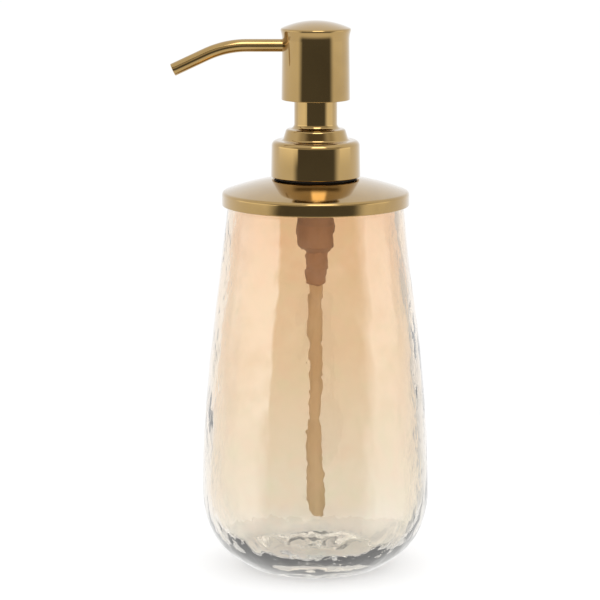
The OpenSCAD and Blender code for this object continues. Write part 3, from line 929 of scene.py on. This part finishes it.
@dataclass
class Pump:
    """The pump's barrel, suction tube and return spring."""

    barrel_r: float = 6.35
    bore_r: float = 5.35
    flange_r: float = 12.3
    flange_t: float = 1.1
    socket_r: float = 3.6
    chamber_r: float = 2.3
    orifice_r: float = 1.3
    tube_r: float = 2.55
    tube_bore_r: float = 1.85
    wire_d: float = 0.7
    turns: float = 8.5
    stroke: float = 9.0
    steps: int = 128

    def build_barrel(self) -> bpy.types.Object:
        """Turns the barrel with its flange, strengthening beads, cone and socket."""
        foot, top = low("pump_housing"), high("pump_housing")
        floor, seat = low("valve_cage"), high("dip_tube")
        flange = high("neck_gasket")
        bead = 0.18
        outer = rounded([
            (self.tube_r, foot, 0), (self.socket_r, foot, 0.6), (self.socket_r, floor - 9, 0),
            (self.socket_r + bead, floor - 8.7, 0), (self.socket_r + bead, floor - 8.1, 0),
            (self.socket_r, floor - 7.8, 0),
            (self.socket_r, floor - 2.8, 0.5), (self.barrel_r, floor - 0.8, 0.5),
            (self.barrel_r, floor + 6, 0), (self.barrel_r + bead, floor + 6.4, 0),
            (self.barrel_r + bead, floor + 7.2, 0),
            (self.barrel_r, floor + 7.6, 0), (self.barrel_r, flange, 0.4),
            (self.flange_r, flange, 0.2), (self.flange_r, flange + self.flange_t, 0.2),
            (self.barrel_r, flange + self.flange_t, 0), (self.barrel_r, top, 0.2), (self.bore_r, top, 0)], 5)
        inner = [(self.bore_r, floor), (self.chamber_r, floor),
                 (self.chamber_r, seat + 1 + self.chamber_r - self.orifice_r),
                 (self.orifice_r, seat + 1), (self.orifice_r, seat), (self.tube_r, seat), (self.tube_r, foot)]
        return turned("barrel_moulding", outer + inner, self.steps)

    def build_tube(self) -> bpy.types.Object:
        """Draws the suction tube and cuts its end at a slant."""
        foot, top = low("dip_tube"), high("dip_tube")
        nothing_selected()
        bpy.ops.mesh.primitive_circle_add(vertices=48, radius=self.tube_r * MM, location=(0, 0, foot * MM))
        piece = bpy.context.object
        piece.name = piece.data.name = "suction_tube"
        settle(piece)
        edit(piece)
        for _ in range(24):
            bpy.ops.mesh.extrude_region_move(TRANSFORM_OT_translate={"value": (0, 0, (top - foot) / 24 * MM)})
        bpy.ops.mesh.select_all(action="SELECT")
        bpy.ops.mesh.bisect(plane_co=(0, 0, (foot + 1.4) * MM), plane_no=(0.55, 0, 1), clear_inner=True)
        close_up(piece)
        modify(piece, "SOLIDIFY", thickness=(self.tube_r - self.tube_bore_r) * MM, offset=-1.0)
        smooth(piece, 50)
        return piece

    def _coil(self, turns: float, rise: float, start_turn: float, start_z: float) -> bpy.types.Object:
        """Winds one length of the spring.

        Args:
            turns: Number of turns.
            rise: Its total rise.
            start_turn: Where on the circle it starts, in turns.
            start_z: Level of the wire's middle there.

        Returns:
            The wound wire, open at both ends.
        """
        radius = self.bore_r - 0.75 - self.wire_d / 2
        a = start_turn * FULL_TURN
        nothing_selected()
        place = (radius * math.cos(a) * MM, radius * math.sin(a) * MM, start_z * MM)
        bpy.ops.mesh.primitive_circle_add(vertices=12, radius=self.wire_d / 2 * MM,
                                          rotation=(math.pi / 2, 0, a), location=place)
        part = bpy.context.object
        settle(part)
        modify(part, "SCREW", angle=turns * FULL_TURN, screw_offset=rise * MM, steps=round(40 * turns),
               render_steps=round(40 * turns), axis="Z", use_merge_vertices=False)
        return part

    def build_spring(self) -> bpy.types.Object:
        """Winds the return spring, with a flat turn at each end."""
        z0, z1 = low("spring") + self.wire_d / 2, high("spring") - self.wire_d / 2
        free = z1 - z0 - 2 * self.wire_d
        middle = self.turns - 2
        piece = joined("return_spring", [
            self._coil(1, self.wire_d, 0, z0),
            self._coil(middle, free, 0, z0 + self.wire_d),
            self._coil(1, self.wire_d, middle % 1, z1 - self.wire_d)])
        edit(piece)
        bpy.ops.mesh.remove_doubles(threshold=0.02 * MM)
        bpy.ops.mesh.select_all(action="DESELECT")
        bpy.ops.mesh.select_non_manifold()
        bpy.ops.mesh.edge_face_add()
        close_up(piece)
        smooth(piece, 60)
        return piece

    def dress(self) -> None:
        """Builds the pump's visible pieces and finishes them."""
        fit(self.build_barrel(), Body.PUMP, Slot.NATURAL, (NATURAL,), "pump_housing")
        fit(self.build_tube(), Body.PUMP, Slot.NATURAL, (TUBE,), "dip_tube")
        spring = self.build_spring()
        fit(spring, Body.PUMP, Slot.STEEL, (STEEL,), "spring")
        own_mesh(spring)


def dress_frame() -> None:
    """Gives every CAD node that stays in view its procedural finish."""
    for part in frame["record"]["subparts"]:
        node = frame["nodes"][part["node"]]
        finish = NODE_FINISH[Slot(part["material_slot"])]
        for holder in node.material_slots:
            holder.material = finish.material()
        log.info("%s: finished as %s", part["node"], finish.name)


# ---------------------------------------------------------------------------------------------
# Studio
# ---------------------------------------------------------------------------------------------


@dataclass
class Studio:
    """A white paper disc that glows with painted light, soft light all round, white walls, a dark cloth in
    front and a softbox above.
    """

    floor_r: float = 270.0
    floor_z: float = -0.05
    spot_r: float = 46.0
    soft: float = 1.0
    behind: float = 1.04
    card_tone: float = 1.7
    softbox_tone: float = 4.6
    cloth_edge: float = 55.0
    cloth_soft: float = 10.0
    cloth: Colour = (0.12, 0.12, 0.12)
    walls: Colour = (1.0, 1.0, 1.0)

    def lay_floor(self) -> None:
        """Lays the paper: a spot under the bottle, and a ring that polished and clear pieces don't see."""
        nothing_selected()
        bpy.ops.mesh.primitive_circle_add(vertices=128, radius=self.spot_r * MM, fill_type="NGON",
                                          location=(0, 0, self.floor_z * MM))
        spot = bpy.context.object
        spot.name = "floor_spot"
        settle(spot)
        ring = turned("floor_ring", [(self.spot_r, self.floor_z), (self.floor_r, self.floor_z)], 128)
        edit(ring)
        bpy.ops.mesh.normals_make_consistent(inside=False)
        bpy.ops.object.mode_set(mode="OBJECT")
        if ring.data.polygons[0].normal.z < 0:
            ring.data.flip_normals()
        for sheet_of_paper in (spot, ring):
            sheet_of_paper.data.materials.append(FLOOR.material())
            sheet_of_paper.visible_glossy = False
        ring.visible_transmission = False

    def hang_softbox(self) -> None:
        """Hangs the softbox above and a little to the right of the front."""
        target = Vector((0, 0, 90 * MM))
        azimuth, elevation, away = math.radians(12), math.radians(42), 0.95
        level = math.cos(elevation)
        back = Vector((math.sin(azimuth) * level, -math.cos(azimuth) * level, math.sin(elevation)))
        bpy.ops.object.light_add(type="AREA", location=target + back * away)
        lamp = bpy.context.object
        lamp.name = "softbox"
        lamp.rotation_euler = back.to_track_quat("Z", "Y").to_euler()
        lamp.data.shape = "RECTANGLE"
        lamp.data.size, lamp.data.size_y = 0.7, 0.55
        lamp.data.energy = 2.2
        lamp.data.use_shadow = False
        lamp.visible_glossy = False
        lamp.visible_transmission = False

    def light_room(self) -> None:
        """Fills the room with soft light, and shows polished pieces its cloth, side cards and softbox."""
        world = bpy.data.worlds.new("studio")
        world.use_nodes = True
        bpy.context.scene.world = world
        sheet = Sheet(world.node_tree)
        way = sheet.add("ShaderNodeTexCoord", output="Generated")
        split = sheet.add("ShaderNodeSeparateXYZ", None, {0: way}).socket.node
        x, y, z = (Value(sheet, split.outputs[k]) for k in range(3))
        azimuth = sheet.add("ShaderNodeMath", {"operation": "ARCTAN2"}, {0: x, 1: y * -1}) * (180 / math.pi)
        elevation = sheet.add("ShaderNodeMath", {"operation": "ARCSINE"}, {0: z}) * (180 / math.pi)
        inner, outer = self.cloth_edge - self.cloth_soft, self.cloth_edge + self.cloth_soft
        cloth = azimuth.step(-outer, -inner) * (1 - azimuth.step(inner, outer))
        room = sheet.mix(cloth, self.walls, self.cloth)
        front = azimuth.step(-80, -50) * (1 - azimuth.step(60, 90))
        above = elevation.step(2, 12)
        beam = elevation.step(27, 31) * (1 - elevation.step(34, 38))
        ceiling = sheet.mix(front * beam, (0.95, 0.95, 0.95), (0.16, 0.14, 0.12))
        ceiling = sheet.mix(front * (1 - elevation.step(26, 40)) * (1 - beam), ceiling, (0.55, 0.52, 0.47))
        room = sheet.mix(above, room, ceiling)
        room = sheet.mix(elevation.step(-34, -13), (1.0, 0.99, 0.97), room)
        level = elevation.step(-7, 3) * (1 - elevation.step(8, 16))
        left = azimuth.step(-118, -104) * (1 - azimuth.step(-50, -45))
        right = azimuth.step(62, 68) * (1 - azimuth.step(98, 106))
        card = (self.card_tone, self.card_tone, self.card_tone * 0.97)
        room = sheet.mix(level * (left + right * 0.8), room, card)
        box = azimuth.step(-18, -8) * (1 - azimuth.step(26, 38))
        box = box * elevation.step(34, 42) * (1 - elevation.step(60, 70))
        box_colour = (self.softbox_tone, self.softbox_tone * 0.98, self.softbox_tone * 0.93)
        room = sheet.mix(box, room, box_colour)
        flag = azimuth.step(100, 112) * (1 - azimuth.step(140, 156))
        through = sheet.mix(flag * 0.65, (self.behind, self.behind, self.behind), (0.25, 0.24, 0.22))
        path = sheet.add("ShaderNodeLightPath").socket.node
        soft = (self.soft, self.soft, self.soft)
        glow = sheet.mix(Value(sheet, path.outputs["Is Camera Ray"]), soft, (1.02, 1.02, 1.02))
        glow = sheet.mix(Value(sheet, path.outputs["Is Glossy Ray"]), glow, room)
        glow = sheet.mix(Value(sheet, path.outputs["Is Transmission Ray"]), glow, through)
        background = sheet.add("ShaderNodeBackground", None, {"Color": glow, "Strength": 1.0})
        sheet.add("ShaderNodeOutputWorld", None, {"Surface": background})

    def set_up(self) -> None:
        """Sets up floor, lights and the plain view transform."""
        self.lay_floor()
        self.hang_softbox()
        self.light_room()
        bpy.context.scene.view_settings.view_transform = "Standard"


@dataclass
class Viewpoint:
    """The camera, a little above the lid and looking slightly down."""

    target: tuple[float, float, float] = (-5.35, 0.0, 93.2)
    distance: float = 948.8
    slope: float = 0.1735
    lens: float = 167.5

    def place(self) -> None:
        """Places the camera and makes it the scene's own."""
        target = Vector(self.target) * MM
        back = Vector((0, -self.distance, self.distance * self.slope)) * MM
        bpy.ops.object.camera_add(location=target + back)
        camera = bpy.context.object
        camera.name = "camera"
        camera.rotation_euler = back.to_track_quat("Z", "Y").to_euler()
        camera.data.lens = self.lens
        camera.data.sensor_width = 36.0
        camera.data.clip_start, camera.data.clip_end = 0.01, 20.0
        bpy.context.scene.camera = camera


def main() -> None:
    """Builds the dispenser from the foot up, then the studio round it."""
    logging.basicConfig(level=logging.INFO, format="%(message)s")
    Viewpoint().place()
    dress_frame()
    Vessel().dress()
    Lid().dress()
    ScrewCap().dress()
    Head().dress()
    Pump().dress()
    Studio().set_up()


if __name__ == "__main__":
    main()
